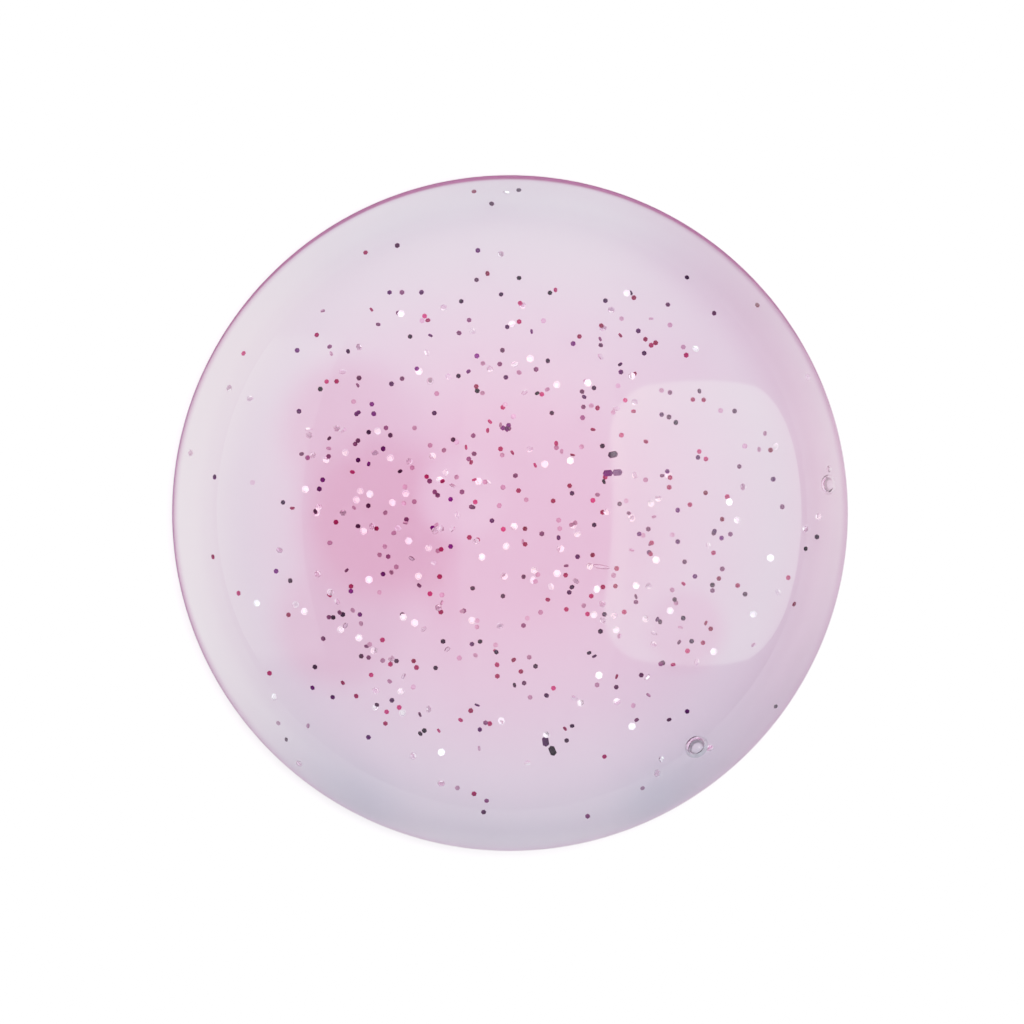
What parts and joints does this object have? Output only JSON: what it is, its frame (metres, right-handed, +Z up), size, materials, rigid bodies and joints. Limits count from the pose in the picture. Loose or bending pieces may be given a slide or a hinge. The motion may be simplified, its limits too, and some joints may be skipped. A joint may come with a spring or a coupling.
{
  "type": "glitter gel drop",
  "caption": "Round low dome of clear pink gel with a flat base, hexagonal glitter film flakes hanging at every depth and a few small trapped air bubbles.",
  "frame": {"origin": "centre of the flat base, on the surface that the gel lies on", "axes": "+Z up through the crown of the dome; the dome is round, so +X and +Y only place its flakes and bubbles"},
  "size_m": [0.02, 0.02, 0.006],
  "materials": {
    "gel": "clear pale pink gel with a wet, glossy skin",
    "silver_film": "mirror-bright silver film",
    "magenta_film": "metallised magenta film",
    "violet_film": "metallised dark violet film",
    "smoke_film": "glossy smoke-grey film",
    "blush_film": "glossy pale pink pearl film"
  },
  "bodies": {
    "root": {"gel_dome": "gel", "silver_flakes_bottom": "silver_film", "magenta_flakes_bottom": "magenta_film", "violet_flakes_bottom": "violet_film", "smoke_flakes_bottom": "smoke_film", "blush_flakes_bottom": "blush_film", "silver_flakes_lower": "silver_film", "magenta_flakes_lower": "magenta_film", "violet_flakes_lower": "violet_film", "smoke_flakes_lower": "smoke_film", "blush_flakes_lower": "blush_film", "silver_flakes_upper": "silver_film", "magenta_flakes_upper": "magenta_film", "violet_flakes_upper": "violet_film", "smoke_flakes_upper": "smoke_film", "blush_flakes_upper": "blush_film", "silver_flakes_top": "silver_film", "magenta_flakes_top": "magenta_film", "violet_flakes_top": "violet_film", "smoke_flakes_top": "smoke_film", "blush_flakes_top": "blush_film", "indigo_long_flakes": "violet_film", "plum_long_flake": "violet_film", "linked_flake": "violet_film"}
  },
  "joints": []
}
